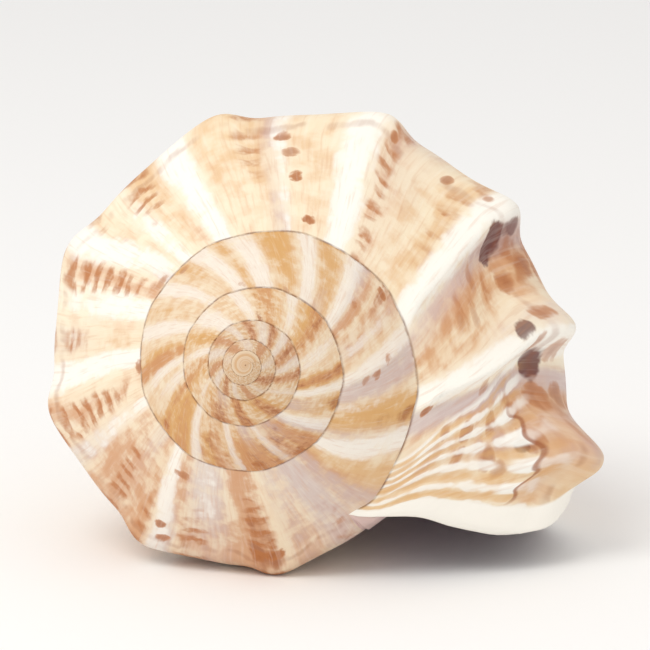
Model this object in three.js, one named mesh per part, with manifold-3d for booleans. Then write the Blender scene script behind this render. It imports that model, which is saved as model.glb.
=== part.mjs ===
import * as THREE from 'three';
import { ParametricGeometry } from 'three/addons/geometries/ParametricGeometry.js';
import { mergeGeometries, mergeVertices } from 'three/addons/utils/BufferGeometryUtils.js';
import Module from 'manifold-3d';

// Knobbed conch shell, grown as one piece and lying on its aperture. Millimetres, +Z up.
// It is worked out round its coiling axis, with the apex at the origin and the canal towards +Z,
// and is then turned to lie on the body whorl, the outer lip and the tip of the canal.
// Growth angles are degrees round that axis. Sizes "at angle zero" grow with the coil: one whorl
// later they are WHORL_RATIO times as large.

const { degToRad, lerp, smoothstep } = THREE.MathUtils;

// Coil: the ramp of each whorl runs from its own suture out to the suture of the next whorl
const WHORL_RATIO = 1.754;
const WHORLS = 5.2;
const SUTURE_RADIUS = 30.25; // at angle zero
const SPIRE_SLOPE = 0.6; // depth under the apex for each millimetre of radius
const RAMP_SWELL = 1.1; // rise of the ramp between its two sutures, at angle zero
const APEX_HEIGHT = 0.5; // rise of the rounded first whorl over its rim

// Wall of the last whorl from under the shoulder to the canal: radius and depth, at angle zero
const WALL_OUTLINE = [
  [57.2, 35.1], [58.7, 41], [58.2, 48.4], [55.5, 59], [50, 71.3], [41.2, 84.3],
  [31.3, 98], [22.3, 111.6], [15.2, 125.2], [11, 137.6], [9, 148.8],
];
const DEEPENING_WALL = [34, 149]; // depths between which the wall stops deepening with growth
const CANAL_WALL = [74, 149]; // depths between which the wall becomes the canal
const CANAL_FLARE = 0.5; // how much faster than the coil the canal widens
const CANAL_BEND = -5; // sideways bend of the canal tip

// Knobs along the shoulder, as growth angles, and the folds that run from them
const KNOB_ANGLES = [-312, -273, -233, -190, -149.5, -103.5, -66.5, -34.5, -8.5, 15, 52];
const KNOB_SPACING = 40; // on the whorls before the first listed knob
const KNOB_LEAN = 0.35; // how much steeper the side that faces the lip is
const KNOB_SHARPNESS = 2.6;
const KNOB_SLOPE = 0.35; // share of a knob's height that points along the axis
const SPIRE_KNOB_HEIGHT = 0.75;
const BODY_KNOB_HEIGHT = 2.85;
const LAST_KNOB_HEIGHT = 3.85;
const FLUTE_DEPTH = 3.1; // hollows between the last knobs
const LIP_FLARE = 2.2;
const LAST_NARROWING = 1.2;

// Degrees by which the folds lean back between the suture and the shoulder, and where that grows
const FOLD_SWEEP = 8;
const FOLD_SWEEP_GROWTH = [[4, [-120, -30]], [12, [-40, 5]], [14, [5, 50]]];
const FOLD_CURVE = 1.2;

// Growth angles over which the sculpture comes and goes
const BODY_KNOB_RISE = [-330, -270];
const LAST_KNOB_RISE = [0, 14];
const FLUTE_RISE = [-80, 0];
const FLUTE_FALL = [16, 26];
const FLARE_RISE = [12, 30];
const NARROWING_RISE = [-70, 0];
const NARROWING_FALL = [5, 20];

// How the sculpture rises along the ramp, and the depths at angle zero where it fades on the wall
const KNOB_RAMP_POWER = 2.5;
const COVERED_RAMP_POWER = 3;
const SHOULDER_RAMP = [0.45, 1];
const KNOB_WALL = [36, 56];
const KNOB_SLOPE_WALL = [31, 50];
const FLUTE_WALL = [34, 59];
const FLARE_WALL = [50, 118];
const NARROWING_WALL = [62, 87];

// Lip: growth angle of its edge, in even steps along the ramp and then along the wall
const LIP_RAMP_ANGLES = [59, 45, 39, 36, 33];
const LIP_WALL_ANGLES = [33, 29, 24.8, 24.3, 28.5, 33.5, 36, 36.5, 37, 38.5, 40];
const LIP_THICKNESS = 3.6;
const LIP_ROUNDING = 0.45; // how far the edge bulges forwards, as a share of its thickness
const LIP_JOIN = 0.5; // stretch of the ramp over which the bulge grows from the suture

// Hollow of the last whorl, between its wall and the callus on the whorl before
const HOLLOW_LENGTH = 250; // degrees back from the lip
const WALL_THICKNESS = 2.6;
const LIP_STRETCH = 0.25; // share of the hollow over which the lip thins to the wall
const CALLUS_THICKNESS = 0.9;
const HOLLOW_TOP = 0.3; // where the hollow starts along the ramp
const HOLLOW_END_AT_LIP = 1.97; // where it ends along the wall
const HOLLOW_END_INSIDE = 1.65;
const HOLLOW_MATCH = 1.5; // how points of the wall are paired with points of the callus
const PAIR_LIMIT = 0.45; // largest share of the gap that a wall may take
const CLOSING_SCALES = [0.9, 0.7, 0.4, 0]; // the inner end closes to a rounded tip
const NOTCH_DEPTH = 5; // siphonal notch across the canal tip
const TIP_HEIGHT = 1.5; // rounded end of the canal

// Rest pose: the side of the coil that faces down, the dip of the axis and the trimmed contact
const REST_SIDE = 92.8;
const REST_DIP = 15.4;
const REST_HEIGHT = 45.6; // height of the apex over the surface that the shell lies on
const TRIM_BOX_SIZE = 400;

// Steps of the faceted surface
const WHORL_STEPS = 90;
const RAMP_STEPS = 4;
const WALL_STEPS = 18;
const WALL_CROWDING = 1.35; // draws the steps of the wall towards the shoulder
const NOTCH_STEPS = 4;
const RIM_STEPS = 3;
const HOLLOW_STEPS = 20;
const WELD_TOLERANCE = 1e-3;

const SHELL_COLOUR = 0xead3b4;
const SHELL_ROUGHNESS = 0.45;

const lipAngle = LIP_RAMP_ANGLES[0];
const bodyStart = lipAngle - 360;
const shoulderRadius = SUTURE_RADIUS * WHORL_RATIO;
const shoulderDepth = SPIRE_SLOPE * shoulderRadius;

const vector2 = ([x, y]) => new THREE.Vector2(x, y);
const wallCurve = new THREE.SplineCurve([[shoulderRadius, shoulderDepth], ...WALL_OUTLINE].map(vector2));
const angleCurve = (angles) => new THREE.SplineCurve(angles.map((angle) => new THREE.Vector2(angle, 0)));
const lipRampCurve = angleCurve(LIP_RAMP_ANGLES);
const lipWallCurve = angleCurve(LIP_WALL_ANGLES);

const growth = (angle) => WHORL_RATIO ** (angle / 360);
const rise = (value, [from, to]) => smoothstep(value, from, to);
const fade = (value, range) => 1 - rise(value, range);
const steps = (count) => Array.from({ length: count + 1 }, (_, index) => index / count);

// Number of knobs passed at a growth angle, with whole numbers at the knobs
function knobCount(angle) {
  if (angle < KNOB_ANGLES[0]) return (angle - KNOB_ANGLES[0]) / KNOB_SPACING;
  const next = Math.max(1, KNOB_ANGLES.findIndex((knob) => knob >= angle));
  const from = KNOB_ANGLES[next - 1];
  return next - 1 + (angle - from) / (KNOB_ANGLES[next] - from);
}

// One at a knob and zero between knobs, falling faster on the side towards the lip
function knobCrest(angle) {
  const phase = 2 * Math.PI * knobCount(angle);
  const leaning = phase - KNOB_LEAN * (Math.cos(phase) - 1);
  return (0.5 + 0.5 * Math.cos(leaning)) ** KNOB_SHARPNESS;
}

function knobHeight(angle) {
  const body = BODY_KNOB_HEIGHT * rise(angle, BODY_KNOB_RISE);
  const last = LAST_KNOB_HEIGHT * rise(angle, LAST_KNOB_RISE);
  return SPIRE_KNOB_HEIGHT + body + last;
}

function foldSweep(angle) {
  return FOLD_SWEEP_GROWTH.reduce((total, [extra, range]) => total + extra * rise(angle, range), FOLD_SWEEP);
}

// Outward growth of the sculpture at a point of the ramp or of the wall: knobs, the earlier knobs
// that the suture passes over, the flutes between knobs, the flared lip and the narrowing before it
function sculpture(angle, ramp, level, onWall) {
  const foldAngle = angle - foldSweep(angle) * (1 - ramp) ** FOLD_CURVE;
  const crest = knobCrest(foldAngle);
  const reach = (wallRange) => (onWall ? fade(level, wallRange) : rise(ramp, SHOULDER_RAMP));
  const knob = knobHeight(foldAngle) * crest * (onWall ? fade(level, KNOB_WALL) : ramp ** KNOB_RAMP_POWER);
  const earlier = angle - 360;
  const covered = knobHeight(earlier) * knobCrest(earlier) * (1 - ramp) ** COVERED_RAMP_POWER / WHORL_RATIO;
  const flute = FLUTE_DEPTH * rise(foldAngle, FLUTE_RISE) * fade(angle, FLUTE_FALL) * (1 - crest);
  const flare = LIP_FLARE * rise(angle, FLARE_RISE);
  const narrowing = LAST_NARROWING * rise(angle, NARROWING_RISE) * fade(angle, NARROWING_FALL);
  const shoulder = flare * reach(FLARE_WALL) - flute * reach(FLUTE_WALL) - narrowing * reach(NARROWING_WALL);
  const outward = knob + covered + shoulder;
  const downward = KNOB_SLOPE * (knob * (onWall ? fade(level, KNOB_SLOPE_WALL) : 1) + covered);
  return { outward, downward };
}

// Point of the outer surface. along is 0 at the suture, 1 at the shoulder and 2 at the canal tip.
function shellPoint(angle, along) {
  const onWall = along > 1;
  const ramp = Math.min(along, 1);
  const wall = wallCurve.getPoint(Math.max(along - 1, 0));
  const radius = onWall ? wall.x : lerp(SUTURE_RADIUS, shoulderRadius, ramp);
  const level = onWall ? wall.y : SPIRE_SLOPE * radius - RAMP_SWELL * 4 * ramp * (1 - ramp);
  const { outward, downward } = sculpture(angle, ramp, level, onWall);

  const scale = growth(angle);
  const canal = rise(level, CANAL_WALL);
  const deepening = onWall ? 1 - rise(level, DEEPENING_WALL) : 1;
  const depth = shoulderDepth * scale + (level + downward - shoulderDepth) * scale ** deepening;
  const across = (radius + outward) * scale ** (1 + CANAL_FLARE * canal);
  const bend = CANAL_BEND * rise(depth, CANAL_WALL) ** 2;
  const turn = degToRad(angle);
  return new THREE.Vector3(across * Math.cos(turn) + bend, across * Math.sin(turn), depth);
}

function lipEdgeAngle(along) {
  return along > 1 ? lipWallCurve.getPoint(along - 1).x : lipRampCurve.getPoint(along).x;
}

// A sheet of quads through rows of points. It faces the side of (row direction) x (column direction).
function sheet(rows) {
  const lastRow = rows.length - 1;
  const lastColumn = rows[0].length - 1;
  const pick = (u, v, target) => target.copy(rows[Math.round(u * lastRow)][Math.round(v * lastColumn)]);
  return new ParametricGeometry(pick, lastRow, lastColumn);
}

function middle(points) {
  const sum = points.reduce((total, point) => total.add(point), new THREE.Vector3());
  return sum.divideScalar(points.length);
}

// Exposed ramps of the early whorls. The outer edge of each whorl is the suture of the next one.
function spireRows() {
  const columns = Math.round((WHORLS - 1) * WHORL_STEPS);
  const first = bodyStart - columns * 360 / WHORL_STEPS;
  const angles = steps(columns).map((share) => lerp(first, bodyStart, share));
  return angles.map((angle) => steps(RAMP_STEPS).map((ramp) => shellPoint(angle, ramp)));
}

// The rounded first whorl: a fan over the start of the spire
function apexRows(spire) {
  const loop = [...spire[0]].reverse().concat(spire.slice(1, WHORL_STEPS + 1).map((row) => row[0]));
  const centre = middle(loop);
  centre.z -= APEX_HEIGHT;
  return loop.map((point) => [centre, point]);
}

const crowdedWall = steps(WALL_STEPS).slice(1).map((share) => 1 + share ** WALL_CROWDING);
const alongSteps = [...steps(RAMP_STEPS), ...crowdedWall];

// The last whorl, from where the lip covers it round to the edge of the lip
function bodyRows() {
  return steps(WHORL_STEPS).map((share) => alongSteps.map((along) => {
    const angle = lerp(bodyStart, lipEdgeAngle(along), share);
    return shellPoint(angle, along);
  }));
}

// Points across the canal between the ends of the lip and of the callus, sunk to a notch
function notchPoints(from, to, sink) {
  return steps(NOTCH_STEPS).slice(1, -1).map((share) => {
    const point = from.clone().lerp(to, share);
    point.z -= sink * 4 * share * (1 - share);
    return point;
  });
}

// A point of the last whorl's wall, moved inwards by the wall's thickness
function innerWallPoint(back, along, thickness) {
  const wall = shellPoint(lipEdgeAngle(along) - back, along);
  const callus = shellPoint(bodyStart - back, 1 + (along / 2) ** HOLLOW_MATCH);
  const share = Math.min(thickness / wall.distanceTo(callus), PAIR_LIMIT);
  return wall.lerp(callus, share);
}

// A point of the whorl before, covered by its callus
function callusPoint(back, along) {
  const callus = shellPoint(bodyStart - back, along);
  const pair = 2 * (along - 1) ** (1 / HOLLOW_MATCH);
  const wall = shellPoint(lipEdgeAngle(pair) - back, pair);
  const share = Math.min(CALLUS_THICKNESS / callus.distanceTo(wall), PAIR_LIMIT);
  return callus.lerp(wall, share);
}

// Closed loop round the hollow: down the wall, across the canal and back up the callus
function hollowLoop(back, thickness, end) {
  const wallSteps = alongSteps.map((along) => lerp(HOLLOW_TOP, end, along / 2));
  const wallSide = wallSteps.map((along) => innerWallPoint(back, along, thickness));
  const callusTop = 1 + (HOLLOW_TOP / 2) ** HOLLOW_MATCH;
  const callusEnd = 1 + (end / 2) ** HOLLOW_MATCH;
  const callusSide = steps(WALL_STEPS).map((share) => callusPoint(back, lerp(callusEnd, callusTop, share)));
  const notch = notchPoints(wallSide.at(-1), callusSide[0], NOTCH_DEPTH / 2);
  return [...wallSide, ...notch, ...callusSide];
}

// Direction of growth along the lip's edge, fading out where the lip joins the suture
function lipForward(along) {
  const edge = lipEdgeAngle(along);
  const forward = shellPoint(edge, along).sub(shellPoint(edge - 1, along));
  return forward.normalize().multiplyScalar(Math.min(along / LIP_JOIN, 1));
}

// Rounded rim from the outer edge of the aperture to the hollow's mouth
function rimRows(edge, mouth) {
  return steps(RIM_STEPS).slice(0, -1).map((share) => edge.map((point, index) => {
    const turn = Math.PI * share;
    const onRim = point.clone().lerp(mouth[index], (1 - Math.cos(turn)) / 2);
    if (index >= alongSteps.length) return onRim;
    const thickness = Math.min(point.distanceTo(mouth[index]), LIP_THICKNESS);
    return onRim.addScaledVector(lipForward(alongSteps[index]), thickness * LIP_ROUNDING * Math.sin(turn));
  }));
}

function hollowRows() {
  const closingStart = HOLLOW_STEPS - CLOSING_SCALES.length;
  return steps(HOLLOW_STEPS).map((share, index) => {
    const thickness = lerp(LIP_THICKNESS, WALL_THICKNESS, Math.min(share / LIP_STRETCH, 1));
    const end = lerp(HOLLOW_END_AT_LIP, HOLLOW_END_INSIDE, share);
    const loop = hollowLoop(HOLLOW_LENGTH * share, thickness, end);
    if (index <= closingStart) return loop;
    const centre = middle(loop);
    const scale = CLOSING_SCALES[index - closingStart - 1];
    return loop.map((point) => centre.clone().lerp(point, scale));
  });
}

const closeLoop = (row) => [...row, row[0]];

function shellSheets() {
  const spire = spireRows();
  const body = bodyRows();
  const lipEdge = body.at(-1);
  const callusEdge = body[0].slice(RAMP_STEPS).reverse();
  const notch = notchPoints(lipEdge.at(-1), callusEdge[0], NOTCH_DEPTH);
  const hollow = hollowRows();
  const rim = rimRows([...lipEdge, ...notch, ...callusEdge], hollow[0]);
  const canalRing = body.map((row) => row.at(-1));
  const tip = middle(canalRing);
  tip.z += TIP_HEIGHT;
  const tipLoop = closeLoop([...canalRing, ...notch]);
  const aperture = [...rim, ...hollow].map(closeLoop);
  const caps = [apexRows(spire), tipLoop.map((point) => [point, tip])];
  return [spire, body, aperture, ...caps].map(sheet);
}

function positionsOnly(geometry) {
  geometry.deleteAttribute('normal');
  geometry.deleteAttribute('uv');
  return geometry;
}

// One closed surface: seams are welded and triangles that collapsed at seams and tips are dropped
function weld(geometries) {
  const welded = mergeVertices(mergeGeometries(geometries.map(positionsOnly)), WELD_TOLERANCE);
  const index = welded.index.array;
  const kept = [];
  for (let i = 0; i < index.length; i += 3) {
    const [a, b, c] = index.slice(i, i + 3);
    if (a !== b && b !== c && c !== a) kept.push(a, b, c);
  }
  welded.setIndex(kept);
  return welded;
}

const wasm = await Module();
wasm.setup();

function toSolid(geometry) {
  const vertProperties = new Float32Array(geometry.attributes.position.array);
  const triVerts = new Uint32Array(geometry.index.array);
  return new wasm.Manifold(new wasm.Mesh({ numProp: 3, vertProperties, triVerts }));
}

function toGeometry(solid) {
  const mesh = solid.getMesh();
  const geometry = new THREE.BufferGeometry();
  geometry.setAttribute('position', new THREE.BufferAttribute(mesh.vertProperties, 3));
  geometry.setIndex(new THREE.BufferAttribute(mesh.triVerts, 1));
  return geometry;
}

// The shell turned to its rest pose and trimmed flat where it touches the surface under it
function shellGeometry() {
  const grown = weld(shellSheets());
  grown.rotateZ(degToRad(90 - REST_SIDE));
  grown.rotateX(degToRad(-90 - REST_DIP));
  grown.translate(0, 0, REST_HEIGHT);
  const box = new THREE.BoxGeometry(TRIM_BOX_SIZE, TRIM_BOX_SIZE, TRIM_BOX_SIZE);
  box.translate(0, 0, TRIM_BOX_SIZE / 2);
  const geometry = toGeometry(toSolid(grown).intersect(toSolid(weld([box]))));
  geometry.computeBoundingBox();
  const centre = geometry.boundingBox.getCenter(new THREE.Vector3());
  geometry.translate(-centre.x, -centre.y, 0);
  geometry.computeVertexNormals();
  return geometry;
}

const material = new THREE.MeshStandardMaterial({
  color: SHELL_COLOUR,
  roughness: SHELL_ROUGHNESS,
  metalness: 0,
});
const shell = new THREE.Mesh(shellGeometry(), material);
shell.name = 'shell';

const conch = new THREE.Group();
conch.add(shell);

export default conch;
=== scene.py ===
"""Conch shell: a knobbed shell grown as one piece, lying on its aperture. Metres, +Z up.

The surface is worked out round the coiling axis, with the apex at the origin and the canal towards +Z, and is
then turned to lie on the body whorl, the outer lip and the tip of the canal. Growth angles are degrees round
that axis. Sizes "at angle zero" grow with the coil: one whorl later they are whorl_ratio times as large.
"""
import math

import bmesh
import bpy
import numpy as np
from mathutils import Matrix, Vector


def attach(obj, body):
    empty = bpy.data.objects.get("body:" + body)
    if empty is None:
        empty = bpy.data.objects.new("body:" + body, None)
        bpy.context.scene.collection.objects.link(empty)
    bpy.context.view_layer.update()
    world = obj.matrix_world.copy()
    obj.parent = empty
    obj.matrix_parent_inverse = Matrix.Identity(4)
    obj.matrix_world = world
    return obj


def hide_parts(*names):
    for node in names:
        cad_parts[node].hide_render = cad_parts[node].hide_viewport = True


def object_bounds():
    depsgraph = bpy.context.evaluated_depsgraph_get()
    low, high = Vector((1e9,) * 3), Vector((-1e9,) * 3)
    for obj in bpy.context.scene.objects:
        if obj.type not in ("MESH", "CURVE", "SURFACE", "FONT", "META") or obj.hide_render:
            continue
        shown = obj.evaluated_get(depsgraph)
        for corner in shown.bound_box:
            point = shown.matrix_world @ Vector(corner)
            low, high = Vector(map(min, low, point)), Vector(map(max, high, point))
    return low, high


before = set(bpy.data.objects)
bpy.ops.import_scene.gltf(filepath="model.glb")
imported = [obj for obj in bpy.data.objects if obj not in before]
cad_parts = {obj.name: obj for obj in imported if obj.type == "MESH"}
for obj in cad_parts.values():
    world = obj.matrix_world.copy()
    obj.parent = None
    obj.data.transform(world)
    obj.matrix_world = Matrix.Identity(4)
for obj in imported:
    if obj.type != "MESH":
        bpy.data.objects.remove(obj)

bl_info = {
    "name": "Conch shell",
    "version": (1, 0, 0),
    "blender": (4, 5, 0),
    "location": "View3D > Sidebar > Conch",
    "description": "Grows a knobbed conch shell and sets a plain stage for it",
    "category": "Add Mesh",
}

CAD_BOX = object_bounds()
MM = 0.001

# Wall of the last whorl from under the shoulder to the canal: radius and depth at angle zero, in millimetres
WALL_OUTLINE = [
    (57.2, 35.1), (58.7, 41), (58.2, 48.4), (55.5, 59), (50, 71.3), (41.2, 84.3),
    (31.3, 98), (22.3, 111.6), (15.2, 125.2), (11, 137.6), (9, 148.8),
]
DEEPENING_WALL = (34, 149)
CANAL_WALL = (74, 149)
CANAL_FLARE = 0.5

# Knobs along the shoulder, as growth angles, and the folds that run from them
KNOB_ANGLES = [-312, -273, -233, -190, -149.5, -103.5, -66.5, -34.5, -8.5, 15, 52]
KNOB_SPACING = 40
KNOB_LEAN = 0.35
KNOB_SHARPNESS = 2.6
KNOB_SLOPE = 0.35
FOLD_SWEEP = 8
FOLD_SWEEP_GROWTH = [(4, (-120, -30)), (12, (-40, 5)), (14, (5, 50))]
FOLD_CURVE = 1.2

# Growth angles over which the sculpture comes and goes
BODY_KNOB_RISE = (-330, -270)
LAST_KNOB_RISE = (0, 14)
FLUTE_RISE = (-80, 0)
FLUTE_FALL = (16, 26)
FLARE_RISE = (12, 30)
NARROWING_RISE = (-70, 0)
NARROWING_FALL = (5, 20)

# How the sculpture rises along the ramp, and the depths in millimetres where it fades on the wall
KNOB_RAMP_POWER = 2.5
COVERED_RAMP_POWER = 3
SHOULDER_RAMP = (0.45, 1)
KNOB_WALL = (36, 56)
KNOB_SLOPE_WALL = (31, 50)
FLUTE_WALL = (34, 59)
FLARE_WALL = (50, 118)
NARROWING_WALL = (62, 87)

# Growth ridges of the ramp: fold angle of the crest at the suture, its lean to the shoulder, height share
RIDGES = [(-35.5, 2.5, 1.0), (-11, 6.5, 1.15), (-358, -12, 0.55), (-397, -10, 0.35), (-66, 0, 0.3)]
RIDGE_BACK = 13  # degrees over which a ridge rises
RIDGE_FRONT = 3.2  # degrees over which it drops towards the lip
RIDGE_CURVE = 1.5  # bend of its crest along the ramp
RIDGE_START = (0, 0.12)  # places along the ramp where ridges start and end
SPIRE_RIDGE_END = (0.8, 1)
BODY_RIDGE_END = (0.92, 1.12)
RAMP_NORMAL = (0.51, -0.86)  # outward and downward parts of the ramp's outer normal
RIBS = 7  # growth ribs behind the lip, which fan out from the suture to the shoulder
FAN_AT_SUTURE = 24  # degrees that the fan takes up
FAN_GROWTH = 13
FAN_START = (0.12, 0.2)  # shares of the fan behind the lip
FAN_END = (0.9, 1.05)
RIB_UNEVENNESS = 9
RIB_START = (0.02, 0.2)  # places along the ramp where ribs start, swell and end
RIB_SWELL = (0.55, 0.85)
RIB_END = (0.93, 1.03)
RIB_LOW = 0.45
RIB_GAIN = 0.9

# Lip: growth angle of its edge, in even steps along the ramp and then along the wall
LIP_RAMP_ANGLES = [59, 45, 39, 36, 33]
LIP_WALL_ANGLES = [33, 29, 24.8, 24.3, 28.5, 33.5, 36, 36.5, 37, 38.5, 40]
LIP_ROUNDING = 0.45
LIP_JOIN = 0.5
LIP_STRETCH = 0.25
FAR_FROM_LIP = 9  # place in the fan of points that have nothing to do with the lip
LIP_WHITE = 1.2  # reach of the porcelain from the edge, in lip thicknesses

# Hollow of the last whorl, between its wall and the callus on the whorl before
HOLLOW_TOP = 0.3
HOLLOW_END_AT_LIP = 1.97
HOLLOW_END_INSIDE = 1.65
HOLLOW_MATCH = 1.5
PAIR_LIMIT = 0.45
CALLUS_DEPTH = 0.02  # how deep inside the colour of the callus edge counts
CLOSING_SHARE = 0.16  # last stretch of the hollow, which closes to a rounded tip

# Steps of the surface
EARLY_STEPS = 250  # of a whorl before the stretch behind the lip
LATE_STEPS = 130
LATE_SHARE = 0.87  # where that stretch starts in a whorl
RAMP_STEPS = 20
WALL_STEPS = 84
WALL_CROWDING = 1.35
NOTCH_STEPS = 8
RIM_STEPS = 12
HOLLOW_STEPS = 64
WELD_DISTANCE = 2e-6
SMALL_ANGLE = 1e-6

# Markings follow the folds; on the spire they lean further back by this many degrees along the ramp
SPIRE_LEAN = 12
SPIRE_LEAN_FADE = (-335, -300)

# Flames: angle, half width, lean along the ramp, then strength at the suture, mid ramp, shoulder and wall
STRENGTH_PLACES = (0, 0.5, 1, 1.5)
FLAME_EDGE = (0.25, 1.35)  # in half widths
WHITE_FLAMES = [
    (-234, 4, -3, .9, .9, .7, .2), (-182, 5, 0, .9, 1, 1, .6), (-161, 6, 1, .9, .9, .5, .3),
    (-140, 6, -6, .5, .9, 1, .5), (-131, 4, 0, .8, .8, .4, .3), (-114, 5, -1, .8, 1, 1, .7),
    (-88, 2.5, 0, .3, .6, .6, .6), (-68, 5.6, -1, 1, 1, .9, .4), (-36.5, 4.4, 1, 1, 1, 1, .7),
    (-13.5, 4.4, 8, 1, 1, 1, .5), (-205, 3.5, 1, .7, .6, .4, .3), (-252, 6, 0, .5, .4, .1, .1),
    (-641, 4, 2, .7, .7, .5, .4), (-615, 4, 4, .9, .7, .5, .4), (-586, 4.5, 1, .8, .9, .9, .5),
    (-553, 6, 0, .8, .6, .2, .2), (-541, 4, 0, .8, .8, .4, .3), (-515, 6, 3, 1, 1, .9, .5),
    (-489, 5, 0, .8, 1, 1, .5), (-466, 6, 0, 1, 1, .9, .5), (-448, 7, 0, 1, 1, .7, .5),
    (-418, 5.5, 0, 1, 1, .9, .5), (-396, 5, 0, 1, 1, .9, .5), (-373, 3, 0, .5, .8, .1, .1),
    (-358, 5, -4, 1, 1, .9, .5), (-341, 4, 0, .7, .3, .1, .1), (-319, 5, -4, .9, 1, .9, .5),
    (-926, 4, 0, .5, .6, .3, .3), (-885, 6, 0, .8, .8, .3, .3), (-845, 12, 0, 1, 1, .8, .5),
    (-812, 7, 0, .7, .9, .8, .5), (-768, 5, 0, .5, .8, .8, .5), (-727, 8, 0, .5, .7, .3, .3),
    (-697, 4, 0, .9, 1, .8, .5), (-671, 5, 0, .9, 1, .8, .5), (-1140, 12, 0, .8, .8, .6, .5),
    (-1040, 6, 0, .5, .6, .4, .3), (-1185, 8, 0, .8, .9, .7, .3), (-1235, 12, 0, .9, .9, .8, .3),
    (-1280, 9, 0, .7, .9, .9, .3), (-1325, 8, 0, .8, .8, .6, .3), (-1372, 7, 0, .5, .6, .6, .3),
    (-1440, 14, 0, .7, .6, .5, .3), (-1520, 20, 0, .6, .7, .6, .3), (-1600, 25, 0, .6, .5, .4, .3),
    (-1075, 8, 0, .5, .8, .8, .3), (-1108, 8, 0, .8, .9, .9, .3),
]
GOLD_FLAMES = [
    (-228, 7, 0, .1, .3, .4, .4), (-174, 6, 0, .35, .35, .2, .2), (-140, 4, 0, 0, .1, .4, .3),
    (-125, 6, 0, .2, .4, .6, .5), (-103, 8, 0, .15, .3, .65, .5), (-95, 6, 0, .25, .35, .65, .5),
    (-79, 8, 0, .2, .3, .4, .3), (-50, 9, 0, .3, .35, .4, .4), (-43, 4.5, 1, .45, .65, .6, .4),
    (-20, 6, 0, .3, .5, .4, .4), (12, 14, 4, .8, .6, .7, .5), (-24, 9, 0, .4, .6, .6, .6),
    (-631, 9, 0, .2, .9, 1, .7), (-606, 10, 0, .5, .6, .5, .5), (-574, 13, 0, .8, 1, .9, .7),
    (-555, 7, 0, .2, .4, .6, .5), (-531, 8, 0, .6, .9, .8, .6), (-504, 9, 0, .2, .3, .4, .4),
    (-477, 7, 0, .2, .3, .6, .5), (-458, 5, 0, .5, .4, .6, .5), (-433, 9, 0, .3, .8, 1, .7),
    (-408, 8, 0, .5, .6, .8, .6), (-340, 6, 4, .7, .9, .8, .7), (-332, 6, 0, .8, .8, 1, .7),
    (-310, 9, 0, .9, .9, .9, .7), (-1010, 18, 0, .9, .8, .6, .5), (-978, 9, 0, 1, 1, 1, .6),
    (-950, 18, 0, .6, .6, .8, .6), (-905, 12, 0, .6, .6, .6, .5), (-868, 9, 0, .8, .8, .6, .5),
    (-790, 14, 0, .7, .5, .6, .5), (-750, 12, 0, .6, .8, .9, .6), (-707, 7, 0, 1, 1, .9, .6),
    (-685, 8, 0, .6, .6, .9, .6), (-655, 12, 0, .7, .8, 1, .6), (-620, 10, 0, .4, .9, 1, .7),
    (-595, 8, 0, .3, .7, .9, .6), (-565, 10, 0, .6, .8, .9, .6),
]
TAN_FLAMES = [
    (-308, 6, 0, .7, .6, .3, .4), (-284, 6, 0, .1, .2, .6, .7), (-269, 8, 0, .9, .9, 1, 1),
    (-249, 9, 0, 0, .2, .7, .7), (-240, 5, -2, .6, .7, .3, .3), (-216, 12, 0, .35, .7, .8, .7),
    (-194, 7, 0, .2, .4, .6, .6), (-151, 5, 0, .6, .45, .6, .6), (-120, 4, 0, .4, .1, .2, .3),
    (-59, 4, 0, .5, .4, .5, .5), (-27, 6, 0, .5, .85, .8, .8), (-20, 5, 0, .3, .5, .5, .6),
    (-5, 4, 8, .3, .9, .8, .7), (-91, 5, 0, .4, .1, .3, .5), (4, 7, 6, .2, .4, .5, .7),
    (-657, 8, 0, .7, .8, 1, .6), (-629, 8, 0, .4, .7, 1, .6), (-602, 7, 0, .2, .6, .9, .6),
    (-533, 6, 0, .6, .9, .8, .6),
    (-389, 4.5, 2, .9, .8, .5, .4), (-376, 9, 0, .3, .5, .6, .5), (-978, 8, 0, 1, 1, 1, .6),
    (-950, 16, 0, .2, .5, .9, .6), (-707, 5, 0, .8, .9, .9, .6), (-350, 5, 0, .1, .3, .6, .5),
    (-574, 7, 0, .3, .5, .7, .5), (-563, 3.5, 0, .9, .3, .6, .5), (-1090, 20, 0, .7, .7, .7, .5),
    (-300, 14, 0, .1, .2, .5, .6), (-258, 9, 0, .1, .3, .7, .7), (-228, 7, 0, .3, .6, .8, .6),
    (-620, 9, 0, .3, .7, 1, .6), (-645, 9, 0, .5, .7, .9, .6), (-590, 7, 0, .2, .4, .6, .5),
    (-1060, 8, 0, .9, 1, 1, .5), (-1092, 7, 0, 1, 1, 1, .5), (-1125, 8, 0, .8, 1, 1, .5),
    (-1160, 9, 0, 1, 1, .9, .5), (-1210, 10, 0, .9, .9, 1, .5), (-1260, 9, 0, .8, 1, .9, .5),
    (-1303, 9, 0, 1, .9, 1, .5), (-1350, 9, 0, .9, 1, 1, .5), (-1400, 14, 0, 1, 1, 1, .5),
    (-1480, 16, 0, 1, 1, .9, .5), (-1560, 18, 0, .9, 1, 1, .5), (-1010, 9, 0, .7, .9, 1, .5),
    (-900, 10, 0, .5, .5, .6, .5), (-790, 10, 0, .6, .4, .5, .4), (-745, 8, 0, .5, .7, .8, .5),
]
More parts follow.
